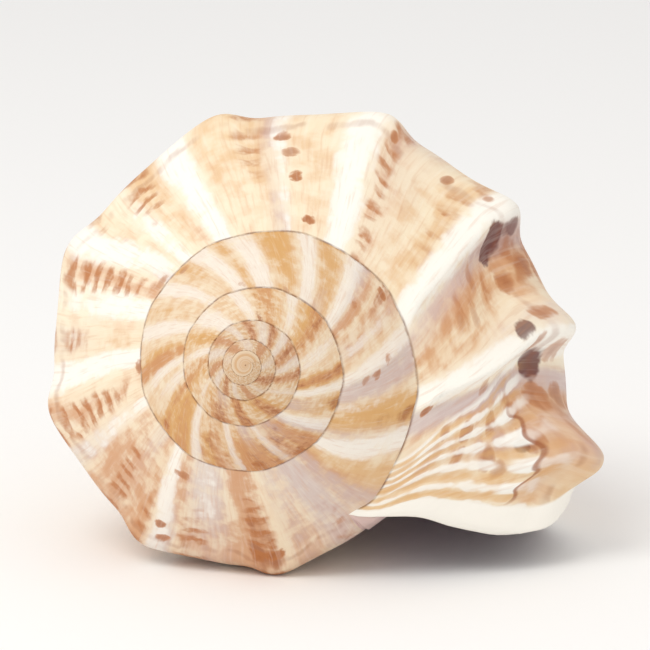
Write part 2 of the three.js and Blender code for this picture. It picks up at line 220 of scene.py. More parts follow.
# Lavender bloom between the flames; on the lip side of the growth ridges and knobs, and on the wall beyond the
# shoulder, it is painted shade
MIST_AND_SHADE_FLAMES = [
    (-297, 9, 0, .9, .9, .7, .5), (-284, 6, 0, .5, .4, .3, .3), (-252, 10, 0, .8, .7, .4, .3),
    (-238, 4, 0, .1, .1, .9, .6), (-222, 5, 0, .6, .2, .1, .2), (-204, 4, 0, .1, .3, .6, .4),
    (-172, 6, 0, .1, .15, .4, .4), (-143, 3.5, 0, .8, .1, 0, .1), (-113, 4, 0, .5, 0, 0, .1),
    (-90, 4, 0, .5, .3, .4, .5), (-56, 8, 0, .1, .15, .3, .7), (-30, 4, 0, .5, .6, .8, .8),
    (-15, 4, 4, .1, .1, .4, .5), (-7, 3.5, 9, .9, 1, .8, .9), (4, 6, 8, .2, .3, .4, .9),
    (-306, 5, 0, .6, .7, .7, .5), (-668, 5, 0, .8, .8, .6, .5), (-652, 10, 0, .6, .3, .1, .2),
    (-630, 7, 0, .8, .3, 0, .1), (-604, 8, 0, .3, .1, .1, .1), (-409, 6, 0, .5, .1, .1, .1),
    (-350, 8, -3, .9, 1, .9, .6), (-394, 5, 2, .1, .3, .8, .5), (-325, 6, 0, .4, .4, .3, .3),
    (-685, 8, 0, .7, .4, .1, .1), (-955, 14, 0, .7, .3, .1, .1), (-375, 8, 0, .3, .1, .3, .3),
]
# The wide brown flames round -645 and -600 are painted shade that darkens the lower half of the spire, and the
# one at -29 is painted shade beside the pocket of a knob
BROWN_FLAMES = [
    (-1060, 6, 0, .3, .3, .6, .3), (-1092, 5, 0, .5, .5, .6, .3), (-1125, 6, 0, .3, .5, .7, .3),
    (-1160, 7, 0, .5, .5, .4, .3), (-1303, 7, 0, .5, .4, .5, .3), (-1400, 12, 0, .6, .5, .6, .3),
    (-1010, 7, 0, .4, .4, .7, .3), (-950, 9, 0, .2, .3, .6, .3), (-868, 5, 0, .5, .2, .2, .2),
    (-800, 6, 0, .7, .2, .2, .2), (-745, 5, 0, .2, .3, .5, .2), (-685, 6, 0, .1, .1, .5, .2),
    (-645, 22, 0, .2, .3, .45, .3), (-600, 25, 0, .15, .25, .3, .3), (-560, 14, 0, .3, .15, .2, .2),
    (-271, 6, 0, .05, .2, .7, .7), (-648, 5, 0, 0, 0, .6, .4), (-624, 5, 0, 0, .1, .8, .5),
    (-978, 7, 0, .5, .5, .7, .5), (-707, 4, 0, .4, .3, .5, .3), (-29, 4, 0, 0, .1, .5, .5),
    (-380, 4, 0, 0, 0, .6, .4), (-332, 4, 0, 0, .2, .4, .3),
]
# Rows of dashes, in the same form
DASH_ROWS = [
    (-297, 4, 0, 0, .1, .5, .5), (-271, 6, 0, 0, .6, 1, 1), (-247, 6, 0, 0, .2, .8, .7),
    (-231, 3, 0, 0, .2, .7, .6), (-216, 4, -3, 0, .6, 1, .9), (-195, 6, 0, 0, .7, 1, .9),
    (-151, 5.5, -3, .2, .8, .9, .8), (-127, 5, 0, 0, .3, .8, .7), (-96, 5, 0, 0, .2, .6, .6),
    (-60, 3.5, -1, .6, .6, .7, .6), (-42, 4, 0, 0, .3, .5, .7), (-24, 7, 0, 0, .4, .4, .9),
    (3, 6, 6, 0, .3, .3, .9), (-172, 5, 0, 0, .1, .5, .5), (-140, 3, 0, 0, .1, .5, .4),
]
DASH_SPACING = 0.125  # along the ramp

# Noises that wear the markings: scale for each degree, scale along the ramp, detail, shift to a place of its own
STREAK = (0.2, 2.4, 3.0, 0.0)
FINE = (0.9, 3.6, 2.0, 4.0)
BLOT = (0.12, 7.0, 3.0, 8.0)
SPECK = (0.35, 16.0, 2.0, 17.0)
THREAD = (0.03, 55.0, 2.0, 12.0)
FAN_PATCHES = (7.0, 7.0, 2.0, 21.0)

# Single spots: angle, place along the ramp, half width in degrees, half height, strength
BROWN_SPOTS = [
    (-80, .15, 2.3, .045, 1), (-84, .58, 1.7, .05, 1), (-85, .83, 2, .045, .7), (-87, .99, 2.2, .035, .8),
    (-240, .28, 3.6, .05, .7), (-187, .03, 3.6, .04, .8), (-147, .06, 3.8, .04, .6),
    (-236, .9, 1.6, .035, .9), (-238, 1.02, 2.2, .03, .9), (-271, .99, 5, .05, 1), (-8, .1, 1.1, .035, .9),
    (-62, 1.06, 1.5, .02, .9), (-47, 1.06, 1.2, .02, .7), (-38, 1.06, 1.2, .02, .7),
    (-562, .88, 2.5, .07, .9), (-623, .87, 3.2, .06, .8), (-647, .95, 3.6, .05, .7),
    (-389, .5, 2, .045, .6), (-354, .33, 2, .045, .5), (-354, .48, 2, .05, .7), (-358, .65, 2.3, .045, .7),
    (-380, .9, 2.6, .04, .9), (-433, .05, 3, .04, .4), (-463, .1, 2.5, .06, .4), (-476, .93, 3, .05, .5),
    (-23, 1.145, 2.6, .055, .9), (-20, 1.025, 2.6, .045, .8), (-12, 1.04, 1.8, .055, .8),
    (-6, .985, 2, .045, .6),
    (6, 1.05, 2.6, .055, .8), (5, 1.17, 2.4, .05, .7), (12, .835, 2, .06, .8), (7, .85, 1.8, .06, .6),
    (6.4, .645, 2, .045, .7), (4.2, .445, 2.2, .04, .7), (12, .58, 2.2, .04, .6), (9, .415, 2, .035, .7),
    (-4, 1.125, 2.2, .05, .6), (1, .28, 1.8, .03, .6), (15, .64, 1.8, .04, .5), (-27, .72, 3, .04, .4),
    (-23, .45, 2.5, .035, .35), (-20, .6, 2.5, .035, .35), (-4, .55, 2, .05, .5),
]
# Painted shade in the pockets beside the knobs, on the side towards the lip, in the same form as the spots
KNOB_POCKET_SHADE = [
    (-29.5, .99, 3.4, .07, 1), (-31, 1.1, 1.5, .05, .8), (-10.3, .885, 1.7, .055, .9),
    (-1.5, 1.04, 3.2, .045, 1),
    (12.3, .765, 1.1, .035, .7),
]


def linear(code):
    """Scene-linear colour of a web colour code: each channel goes through the sRGB curve."""
    channels = [int(code[i:i + 2], 16) / 255 for i in (1, 3, 5)]
    return [c / 12.92 if c <= 0.04045 else ((c + 0.055) / 1.055) ** 2.4 for c in channels]


def length(name, description, default):
    return bpy.props.FloatProperty(name=name, description=description, default=default, unit="LENGTH")


def number(name, description, default):
    return bpy.props.FloatProperty(name=name, description=description, default=default)


def angle(name, description, degrees):
    return bpy.props.FloatProperty(
        name=name, description=description, default=math.radians(degrees), subtype="ANGLE")


def colour(name, description, code):
    return bpy.props.FloatVectorProperty(
        name=name, description=description, default=linear(code), subtype="COLOR", min=0, max=1)


class ShellSizes(bpy.types.PropertyGroup):
    """Sizes of the grown shell."""
    whorl_ratio: number("Whorl ratio", "Growth of every size over one whorl", 1.754)
    whorls: number("Whorls", "Number of whorls", 5.2)
    suture_radius: length("Suture radius", "Radius of the suture at angle zero", 30.25 * MM)
    spire_slope: number("Spire slope", "Depth under the apex for each metre of radius", 0.6)
    ramp_swell: length("Ramp swell", "Rise of the ramp between two sutures", 1.1 * MM)
    apex_height: length("Apex height", "Rise of the rounded first whorl", 0.5 * MM)
    spire_knob: length("Spire knobs", "Height of the knobs on the early whorls", 0.75 * MM)
    body_knob: length("Body knobs", "Further height on the last whorl", 2.85 * MM)
    last_knob: length("Last knobs", "Further height beside the lip", 3.85 * MM)
    flute_depth: length("Flutes", "Depth of the hollows between the last knobs", 3.1 * MM)
    lip_flare: length("Lip flare", "Flare of the lip", 2.2 * MM)
    narrowing: length("Narrowing", "Narrowing before the lip", 1.2 * MM)
    ridge_height: length("Ridges", "Height of the growth ridges", 1.25 * MM)
    rib_height: length("Ribs", "Height of the ribs behind the lip", 0.42 * MM)
    canal_bend: length("Canal bend", "Sideways bend of the canal tip", -5 * MM)
    lip_thickness: length("Lip thickness", "Thickness of the lip", 3.6 * MM)
    wall_thickness: length("Wall thickness", "Thickness of the wall inside", 2.6 * MM)
    callus_thickness: length("Callus", "Thickness of the callus", 0.9 * MM)
    hollow_length: angle("Hollow", "How far back from the lip the hollow reaches", 250)
    notch_depth: length("Notch", "Depth of the siphonal notch", 5 * MM)
    tip_height: length("Canal end", "Rounding of the canal's end", 1.5 * MM)
    rest_side: angle("Rest side", "Side of the coil that faces down", 92.8)
    rest_dip: angle("Rest dip", "Dip of the axis at rest", 15.4)
    rest_height: length("Rest height", "Height of the apex over the surface", 45.6 * MM)


class ShellColours(bpy.types.PropertyGroup):
    """Pigments of the shell, and the colours of its painted shade."""
    cream: colour("Cream", "Ground of the shell", "#f9ebcf")
    beige: colour("Beige", "Streaks of the ground", "#efcfae")
    white: colour("White", "Pale flames and ridges", "#fefcf4")
    gold: colour("Gold", "Golden wash", "#dfae6c")
    honey: colour("Honey", "Grooves behind the lip", "#e2b070")
    tan: colour("Tan", "Peach and tan flames", "#cf9266")
    rust: colour("Rust", "Dashes and spots", "#ba7440")
    brown: colour("Brown", "Dark flames and the middle of spots", "#9a5228")
    # Painted shade for the pockets beside the knobs
    pocket_shade: colour("Dark", "Pockets beside the knobs", "#68302a")
    # Lavender bloom, also painted shade on the lip side of the ridges and knobs
    mist_and_painted_shade: colour("Mist", "Grey bloom between flames", "#d3c4c4")
    # Also paints the crease shadow beside the suture
    suture: colour("Suture", "Line between the whorls", "#7a4a26")
    # Tint of the first whorls, also used for painted shade on the older half of the body whorl
    rose: colour("Rose", "First whorls", "#a9754c")
    porcelain: colour("Porcelain", "Lip", "#fefaf0")
    blush: colour("Blush", "Callus and throat", "#e7cbbd")
    inside: colour("Inside", "Deep hollow", "#b79db0")


class StageSettings(bpy.types.PropertyGroup):
    """Floor, light and camera."""
    floor: colour("Floor", "Floor colour", "#fbfbfa")
    sky: number("Sky", "Strength of the even light", 0.79)
    key: number("Key", "Power of the soft lamp, in watts", 5)
    azimuth: angle("Azimuth", "Turn of the view from the front", 10.55)
    elevation: angle("Elevation", "Height of the view", 13.03)
    distance: length("Distance", "Depth of the apex in front of the camera", 0.7)
    pixel: length("Pixel", "Size of one picture element at the apex", 0.19 * MM)


def rise(value, span):
    """0 before the span, 1 after it, and a smooth cubic step between."""
    share = np.clip((value - span[0]) / (span[1] - span[0]), 0, 1)
    return share * share * (3 - 2 * share)


def fade(value, span):
    return 1 - rise(value, span)


def curve_through(points, share):
    """Smooth curve through evenly timed points: on each stretch the cubic whose slopes at the ends are half
    the step between the neighbours."""
    points = np.asarray(points, float)
    last = len(points) - 1
    place = np.clip(share, 0, 1) * last
    start = np.minimum(place.astype(int), last - 1)
    part = place - start
    before, after = points[np.maximum(start - 1, 0)], points[np.minimum(start + 2, last)]
    here, there = points[start], points[start + 1]
    if points.ndim > 1:
        part = part[..., None]
    leave, arrive = (there - before) / 2, (after - here) / 2
    cubic = 2 * here - 2 * there + leave + arrive
    square = 3 * there - 3 * here - 2 * leave - arrive
    return ((cubic * part + square) * part + leave) * part + here


def between(first, last, share):
    return first + (last - first) * share


class ShellForm:
    """Formulas of the grown surface."""

    def __init__(self, sizes):
        self.sizes = sizes
        self.shoulder_radius = sizes.suture_radius * sizes.whorl_ratio
        self.shoulder_depth = sizes.spire_slope * self.shoulder_radius
        shoulder = (self.shoulder_radius, self.shoulder_depth)
        self.wall = [shoulder] + [(radius * MM, depth * MM) for radius, depth in WALL_OUTLINE]
        self.lip_start = LIP_RAMP_ANGLES[0]
        self.body_start = self.lip_start - 360

    def knob_crest(self, turn):
        """One at a knob and zero between knobs, falling faster on the side towards the lip."""
        first, gap = KNOB_ANGLES[0], KNOB_ANGLES[-1] - KNOB_ANGLES[-2]
        count = np.interp(turn, KNOB_ANGLES, np.arange(len(KNOB_ANGLES)))
        count = np.where(turn < first, (turn - first) / KNOB_SPACING, count)
        count = np.where(turn > KNOB_ANGLES[-1], len(KNOB_ANGLES) - 1 + (turn - KNOB_ANGLES[-1]) / gap, count)
        phase = 2 * np.pi * count
        leaning = phase - KNOB_LEAN * (np.cos(phase) - 1)
        return (0.5 + 0.5 * np.cos(leaning)) ** KNOB_SHARPNESS

    def knob_height(self, turn):
        sizes = self.sizes
        body = sizes.body_knob * rise(turn, BODY_KNOB_RISE)
        last = sizes.last_knob * rise(turn, LAST_KNOB_RISE)
        return sizes.spire_knob + body + last

    def fold_angle(self, turn, ramp):
        """Growth angle at the shoulder of the fold that passes through a point of the ramp."""
        sweep = FOLD_SWEEP + sum(extra * rise(turn, span) for extra, span in FOLD_SWEEP_GROWTH)
        return turn - sweep * (1 - ramp) ** FOLD_CURVE

    def marking_angle(self, turn, ramp):
        """Fold angle with the further lean that the markings of the spire have."""
        fold = self.fold_angle(turn, ramp)
        return fold + SPIRE_LEAN * ramp * fade(turn, SPIRE_LEAN_FADE)

    def lip_angle(self, along):
        on_wall = curve_through(LIP_WALL_ANGLES, along - 1)
        return np.where(along > 1, on_wall, curve_through(LIP_RAMP_ANGLES, along))

    def sculpture(self, turn, ramp, level, on_wall):
        """Outward and downward growth of knobs, of the earlier knobs that the suture passes over, of the
        flutes between knobs, of the flared lip and of the narrowing before it."""
        sizes = self.sizes
        fold = self.fold_angle(turn, ramp)
        crest = self.knob_crest(fold)

        def reach(span):
            return np.where(on_wall, fade(level / MM, span), rise(ramp, SHOULDER_RAMP))

        knob_reach = np.where(on_wall, fade(level / MM, KNOB_WALL), ramp ** KNOB_RAMP_POWER)
        knob = self.knob_height(fold) * crest * knob_reach
        earlier = turn - 360
        covered = self.knob_height(earlier) * self.knob_crest(earlier)
        covered = covered * (1 - ramp) ** COVERED_RAMP_POWER / sizes.whorl_ratio
        flute = sizes.flute_depth * rise(fold, FLUTE_RISE) * fade(turn, FLUTE_FALL) * (1 - crest)
        flare = sizes.lip_flare * rise(turn, FLARE_RISE)
        narrowing = sizes.narrowing * rise(turn, NARROWING_RISE) * fade(turn, NARROWING_FALL)
        shoulder = flare * reach(FLARE_WALL) - flute * reach(FLUTE_WALL) - narrowing * reach(NARROWING_WALL)
        downward = KNOB_SLOPE * (knob * np.where(on_wall, fade(level / MM, KNOB_SLOPE_WALL), 1) + covered)
        return knob + covered + shoulder, downward

    def relief(self, turn, along):
        """Lift of the fine growth marks: ridges that rise slowly and drop towards the lip, and the ribs behind
        it. On the spire the ridges end at the suture, where the next whorl covers them."""
        sizes = self.sizes
        ramp = np.minimum(along, 1)
        fold = self.fold_angle(turn, ramp)
        on_spire = turn < self.body_start
        shoulder = np.where(on_spire, fade(along, SPIRE_RIDGE_END), fade(along, BODY_RIDGE_END))
        on_ramp = rise(along, RIDGE_START) * shoulder
        lift = np.zeros_like(fold)
        for start, lean, share in RIDGES:
            past = fold - (start + lean * ramp ** RIDGE_CURVE)
            back = np.clip(1 + past / RIDGE_BACK, 0, 1) ** 2
            front = fade(past, (0, RIDGE_FRONT))
            lift = lift + share * sizes.ridge_height * back * front * on_ramp
        behind = self.lip_angle(along) - turn
        fan_place = behind / (FAN_AT_SUTURE + FAN_GROWTH * ramp)
        ribs = 0.5 + 0.5 * np.cos(2 * np.pi * RIBS * fan_place + np.sin(RIB_UNEVENNESS * fan_place))
        window = rise(fan_place, FAN_START) * fade(fan_place, FAN_END) * rise(along, RIB_START)
        window = window * (RIB_LOW + RIB_GAIN * rise(along, RIB_SWELL)) * fade(along, RIB_END)
        return lift + sizes.rib_height * ribs * window

    def point(self, turn, along, fine=1):
        """Point of the outer surface, with its fine relief or without. Along is 0 at the suture, 1 at the
        shoulder and 2 at the canal tip. The ramp is a cone with a swell, the wall is a curve through its
        outline, and both grow with the coil."""
        sizes = self.sizes
        turn, along = np.broadcast_arrays(np.asarray(turn, float), np.asarray(along, float))
        on_wall = along > 1
        ramp = np.minimum(along, 1)
        wall = curve_through(self.wall, along - 1)
        radius = np.where(on_wall, wall[..., 0], between(sizes.suture_radius, self.shoulder_radius, ramp))
        cone = sizes.spire_slope * radius - sizes.ramp_swell * 4 * ramp * (1 - ramp)
        level = np.where(on_wall, wall[..., 1], cone)
        outward, downward = self.sculpture(turn, ramp, level, on_wall)
        lift = self.relief(turn, along) * fine
        outward = outward + lift * RAMP_NORMAL[0]
        downward = downward + lift * RAMP_NORMAL[1]

        scale = sizes.whorl_ratio ** (turn / 360)
        canal = rise(level / MM, CANAL_WALL)
        deepening = np.where(on_wall, fade(level / MM, DEEPENING_WALL), 1)
        depth = self.shoulder_depth * scale + (level + downward - self.shoulder_depth) * scale ** deepening
        across = (radius + outward) * scale ** (1 + CANAL_FLARE * canal)
        bend = sizes.canal_bend * rise(depth / MM, CANAL_WALL) ** 2
        around = np.radians(turn)
        return np.stack([across * np.cos(around) + bend, across * np.sin(around), depth], -1)

    def inner_wall(self, back, along, thickness):
        """Point of the last whorl's wall, moved inwards by the wall's thickness."""
        wall = self.point(self.lip_angle(along) - back, along, 0)
        callus = self.point(self.body_start - back, 1 + (along / 2) ** HOLLOW_MATCH, 0)
        return wall + (callus - wall) * self.step_share(wall, callus, thickness)

    def callus(self, back, along):
        """Point of the whorl before, covered by its callus."""
        callus = self.point(self.body_start - back, along, 0)
        pair = 2 * (along - 1) ** (1 / HOLLOW_MATCH)
        wall = self.point(self.lip_angle(pair) - back, pair, 0)
        return callus + (wall - callus) * self.step_share(callus, wall, self.sizes.callus_thickness)

    @staticmethod
    def step_share(start, end, step):
        gap = np.linalg.norm(end - start, axis=-1)
        return np.minimum(step / gap, PAIR_LIMIT)[..., None]


def flame_strength(flames, marking, along):
    """Strength of the strongest flame at each point: a smooth bump across the flame's leaning middle line,
    times its strength along the ramp."""
    total = np.zeros_like(marking)
    for middle, half_width, lean, *strengths in flames:
        off = np.abs(marking - middle - lean * np.minimum(along, 1)) / half_width
        total = np.maximum(total, fade(off, FLAME_EDGE) * np.interp(along, STRENGTH_PLACES, strengths))
    return total


class Sheet:
    """A grid of surface points with their markings, facing (row direction) x (column direction)."""

    def __init__(self, points, **marks):
        self.points = points
        self.marks = marks


def outer_sheet(form, turn, along):
    """Sheet of the outer surface, with its pigments, some of them partly painted shade, and its distance behind
    the lip.
    """
    turn, along = np.broadcast_arrays(turn, along)
    marking = form.marking_angle(turn, np.minimum(along, 1))
    behind = form.lip_angle(along) - turn
    fan_place = behind / (FAN_AT_SUTURE + FAN_GROWTH * np.minimum(along, 1))
    inside = np.zeros_like(turn)
    pigments = [flame_strength(flames, marking, along) for flames in (WHITE_FLAMES, GOLD_FLAMES, TAN_FLAMES)]
    # Brown flames, lavender bloom and dash rows; the bloom and a few brown flames are partly painted shade
    stains_and_shade = [flame_strength(flames, marking, along) for flames in (BROWN_FLAMES, MIST_AND_SHADE_FLAMES, DASH_ROWS)]
    return Sheet(
        form.point(turn, along),
        growth=np.stack([marking / 360, along], -1),
        wash=np.stack(pigments, -1),
        stain_and_shade=np.stack(stains_and_shade, -1),
        lip=np.stack([fan_place, inside, inside], -1))


def plain_sheet(points, rows, inside, rim):
    """Sheet of the aperture: how deep inside each row is, and how much of it is rim."""
    shape = points.shape[:2]
    blank = np.zeros(shape + (3,))
    columns = np.broadcast_to(np.linspace(0, 1, shape[1]), shape)
    deep = np.broadcast_to(inside[:, None], shape)
    edge = np.broadcast_to(rim[:, None], shape)
    return Sheet(
        points,
        growth=np.stack([np.broadcast_to(rows[:, None], shape), columns], -1),
        wash=blank,
        stain_and_shade=blank,
        lip=np.stack([np.zeros(shape), deep, edge], -1))


def fan(loop, centre, outwards):
    """Fan from a loop of points to a centre point."""
    middle = np.broadcast_to(centre, loop.shape)
    pair = (loop, middle) if outwards else (middle, loop)
    return np.stack(pair, 1)


def whorl_shares():
    """Shares of one whorl, closer together on the stretch that ends at the lip."""
    early = np.linspace(0, LATE_SHARE, EARLY_STEPS + 1)
    return np.concatenate([early, np.linspace(LATE_SHARE, 1, LATE_STEPS + 1)[1:]])


def along_steps():
    wall = 1 + np.linspace(0, 1, WALL_STEPS + 1)[1:] ** WALL_CROWDING
    return np.concatenate([np.linspace(0, 1, RAMP_STEPS + 1), wall])


def notch_points(start, end, sink):
    """Points across the canal between two ends, sunk along the axis by a parabola."""
    share = np.linspace(0, 1, NOTCH_STEPS + 1)[1:-1, None]
    points = between(start, end, share)
    points[:, 2] -= sink * 4 * share[:, 0] * (1 - share[:, 0])
    return points


def hollow_loop(form, along, back, thickness, end):
    """Loop round the hollow: down the wall, across the canal and back up the callus."""
    wall_side = form.inner_wall(back, between(HOLLOW_TOP, end, along / 2), thickness)
    callus_top, callus_end = (1 + (place / 2) ** HOLLOW_MATCH for place in (HOLLOW_TOP, end))
    callus_side = form.callus(back, np.linspace(callus_end, callus_top, WALL_STEPS + 1))
    notch = notch_points(wall_side[-1], callus_side[0], form.sizes.notch_depth / 2)
    return np.concatenate([wall_side, notch, callus_side])


def hollow_rows(form, along):
    """Loops from the mouth of the hollow to its rounded inner end."""
    sizes = form.sizes
    length_back = math.degrees(sizes.hollow_length)
    rows = []
    for share in np.linspace(0, 1, HOLLOW_STEPS + 1):
        thickness = between(sizes.lip_thickness, sizes.wall_thickness, min(share / LIP_STRETCH, 1))
        end = between(HOLLOW_END_AT_LIP, HOLLOW_END_INSIDE, share)
        loop = hollow_loop(form, along, length_back * share, thickness, end)
        closing = np.clip((share - 1 + CLOSING_SHARE) / CLOSING_SHARE, 0, 1)
        rows.append(between(loop.mean(0), loop, math.sqrt(1 - closing ** 2)))
    return np.stack(rows)


def rim_rows(form, along, edge, mouth):
    """Rounded rim from the outer edge to the hollow's mouth: half a circle that bulges along the growth."""
    turn = np.linspace(0, np.pi, RIM_STEPS + 1)[:-1, None, None]
    rows = between(edge, mouth, (1 - np.cos(turn)) / 2)
    lip = form.lip_angle(along)
    forward = form.point(lip, along) - form.point(lip - 1, along)
    forward /= np.linalg.norm(forward, axis=-1, keepdims=True)
    gap = np.linalg.norm(edge - mouth, axis=-1)[:len(along)]
    bulge = np.minimum(gap, form.sizes.lip_thickness) * LIP_ROUNDING * np.minimum(along / LIP_JOIN, 1)
    rows[:, :len(along)] += np.sin(turn) * (forward * bulge[:, None])
    return rows


def close_loop(rows):
    return np.concatenate([rows, rows[:, :1]], 1)


def shell_sheets(form):
    """All sheets of the shell: spire, last whorl, aperture with its hollow, apex and canal tip."""
    sizes = form.sizes
    shares, along = whorl_shares(), along_steps()
    whorls = np.concatenate([shares[:-1] - whorl for whorl in range(math.ceil(sizes.whorls - 1), 0, -1)])
    whorls = np.append(whorls[whorls >= 1 - sizes.whorls], 0)
    spire_turns = form.body_start + 360 * whorls
    spire = outer_sheet(form, spire_turns[:, None], np.linspace(0, 1, RAMP_STEPS + 1))
    body_turns = between(form.body_start, form.lip_angle(along), shares[:, None])
    body = outer_sheet(form, body_turns, along)

    lip_edge, callus_edge = body.points[-1], body.points[0, RAMP_STEPS:][::-1]
    notch = notch_points(lip_edge[-1], callus_edge[0], sizes.notch_depth)
    hollow = hollow_rows(form, along)
    edge = np.concatenate([lip_edge, notch, callus_edge])
    rim = rim_rows(form, along, edge, hollow[0])
    from_edge = np.linalg.norm(close_loop(rim) - close_loop(edge[None]), axis=-1)
    past_lip = from_edge > LIP_WHITE * sizes.lip_thickness
    loops = close_loop(np.concatenate([rim, hollow]))
    row_place = np.concatenate([np.zeros(RIM_STEPS), np.linspace(0, 1, HOLLOW_STEPS + 1)])
    rim_mask = np.concatenate([np.ones(RIM_STEPS), np.zeros(HOLLOW_STEPS + 1)])
    aperture = plain_sheet(loops, row_place, row_place, rim_mask)
    past_lip[:, -WALL_STEPS - 2:-1] = True
    aperture.marks["lip"][:RIM_STEPS][past_lip] = (1, CALLUS_DEPTH, 0)
    mouth = aperture.marks["lip"][RIM_STEPS:, past_lip[-1], 1]
    aperture.marks["lip"][RIM_STEPS:, past_lip[-1], 1] = np.maximum(mouth, CALLUS_DEPTH)

    whorl_rows = np.searchsorted(spire_turns, spire_turns[0] + 360 - SMALL_ANGLE)
    apex_loop = np.concatenate([spire.points[0][::-1], spire.points[1:whorl_rows + 1, 0]])
    apex_centre = apex_loop.mean(0) - (0, 0, sizes.apex_height)
    apex = fan(apex_loop, apex_centre, False)
    canal_ring = body.points[:, -1]
    tip_centre = canal_ring.mean(0) + (0, 0, sizes.tip_height)
    tip_loop = close_loop(np.concatenate([canal_ring, notch])[None])[0]
    tip = fan(tip_loop, tip_centre, True)
    none = np.zeros(len(apex))
    apex_sheet = plain_sheet(apex, np.full(len(apex), spire_turns[0] / 360), none, none)
    none = np.zeros(len(tip))
    tip_sheet = plain_sheet(tip, none, none, none)
    tip_sheet.marks["growth"][..., 1] = 2
    for sheet in (apex_sheet, tip_sheet):
        sheet.marks["lip"][..., 0] = FAR_FROM_LIP
    return [spire, body, aperture, apex_sheet, tip_sheet]


def rest_pose(points, sizes):
    """Turn the axis to its rest pose: about the coiling axis, then down, then up to the rest height."""
    side, dip = math.pi / 2 - sizes.rest_side, -math.pi / 2 - sizes.rest_dip
    about = np.array([[math.cos(side), -math.sin(side), 0], [math.sin(side), math.cos(side), 0], [0, 0, 1]])
    down = np.array([[1, 0, 0], [0, math.cos(dip), -math.sin(dip)], [0, math.sin(dip), math.cos(dip)]])
    return points @ (down @ about).T + (0, 0, sizes.rest_height)


def grid_quads(rows, columns, start):
    """Corner numbers of the quads of a grid whose first vertex has the number start."""
    first = start + np.arange(rows - 1)[:, None] * columns + np.arange(columns - 1)
    return np.stack([first, first + columns, first + columns + 1, first + 1], -1).reshape(-1, 4)


def cad_shift(points):
    """Shift in the plane that brings the middle of the points' box to the middle of the CAD box."""
    middle = (points.min(0) + points.max(0)) / 2
    target = (Vector(CAD_BOX[0]) + Vector(CAD_BOX[1])) / 2
    return np.array([target.x - middle[0], target.y - middle[1], 0])


def mesh_from_sheets(name, sheets, sizes):
    """One closed mesh: the sheets' grids side by side, turned to rest, flattened where they touch the surface
    under them, and welded along their seams. Markings are kept for each corner."""
    points = np.concatenate([sheet.points.reshape(-1, 3) for sheet in sheets])
    points = rest_pose(points, sizes)
    points[:, 2] = np.maximum(points[:, 2], 0)
    shift = cad_shift(points)
    points += shift
    starts = np.cumsum([0] + [sheet.points.shape[0] * sheet.points.shape[1] for sheet in sheets])
    grids = [grid_quads(*sheet.points.shape[:2], start) for sheet, start in zip(sheets, starts)]
    quads = np.concatenate(grids)
    mesh = bpy.data.meshes.new(name)
    mesh.vertices.add(len(points))
    mesh.vertices.foreach_set("co", points.ravel())
    mesh.loops.add(quads.size)
    mesh.loops.foreach_set("vertex_index", quads.ravel())
    mesh.polygons.add(len(quads))
    mesh.polygons.foreach_set("loop_start", np.arange(len(quads)) * 4)
    mesh.update(calc_edges=True)
    for mark in ("wash", "stain_and_shade", "lip"):
        values = np.concatenate([sheet.marks[mark].reshape(-1, 3) for sheet in sheets])
        layer = mesh.attributes.new(mark, "FLOAT_VECTOR", "CORNER")
        layer.data.foreach_set("vector", values[quads.ravel()].ravel())
    growth = np.concatenate([sheet.marks["growth"].reshape(-1, 2) for sheet in sheets])
    layer = mesh.uv_layers.new(name="growth")
    layer.uv.foreach_set("vector", growth[quads.ravel()].ravel())
    weld(mesh)
    mesh.polygons.foreach_set("use_smooth", np.ones(len(mesh.polygons), bool))
    mesh.update()
    return mesh, shift


def weld(mesh):
    """Merge the vertices that sheets share and drop the faces that collapse at poles."""
    welded = bmesh.new()
    welded.from_mesh(mesh)
    bmesh.ops.remove_doubles(welded, verts=welded.verts, dist=WELD_DISTANCE)
    bmesh.ops.dissolve_degenerate(welded, edges=welded.edges, dist=WELD_DISTANCE / 2)
    welded.to_mesh(mesh)
    welded.free()


class Value:
    """A number on a material's socket. Arithmetic on it adds Math nodes."""

    def __init__(self, paint, socket):
        self.paint = paint
        self.socket = socket

    def _math(self, operation, *others):
        return self.paint.node("ShaderNodeMath", {"operation": operation}, dict(enumerate(others)))

    def __add__(self, other):
        return self._math("ADD", self, other)

    __radd__ = __add__

    def __mul__(self, other):
        return self._math("MULTIPLY", self, other)

    __rmul__ = __mul__

    def __sub__(self, other):
        return self._math("SUBTRACT", self, other)

    def __rsub__(self, other):
        return self._math("SUBTRACT", other, self)

    def __truediv__(self, other):
        return self._math("DIVIDE", self, other)

    def cosine(self):
        return self._math("COSINE", self)

    def sine(self):
        return self._math("SINE", self)

    def at_least(self, other):
        return self._math("MAXIMUM", self, other)

    def rise(self, start, end):
        """Smooth step from 0 at start to 1 at end; start may be the larger."""
        inputs = {0: self, 1: start, 2: end, 3: 0.0, 4: 1.0}
        if start > end:
            inputs = {0: self, 1: end, 2: start, 3: 1.0, 4: 0.0}
        return self.paint.node("ShaderNodeMapRange", {"interpolation_type": "SMOOTHSTEP"}, inputs)


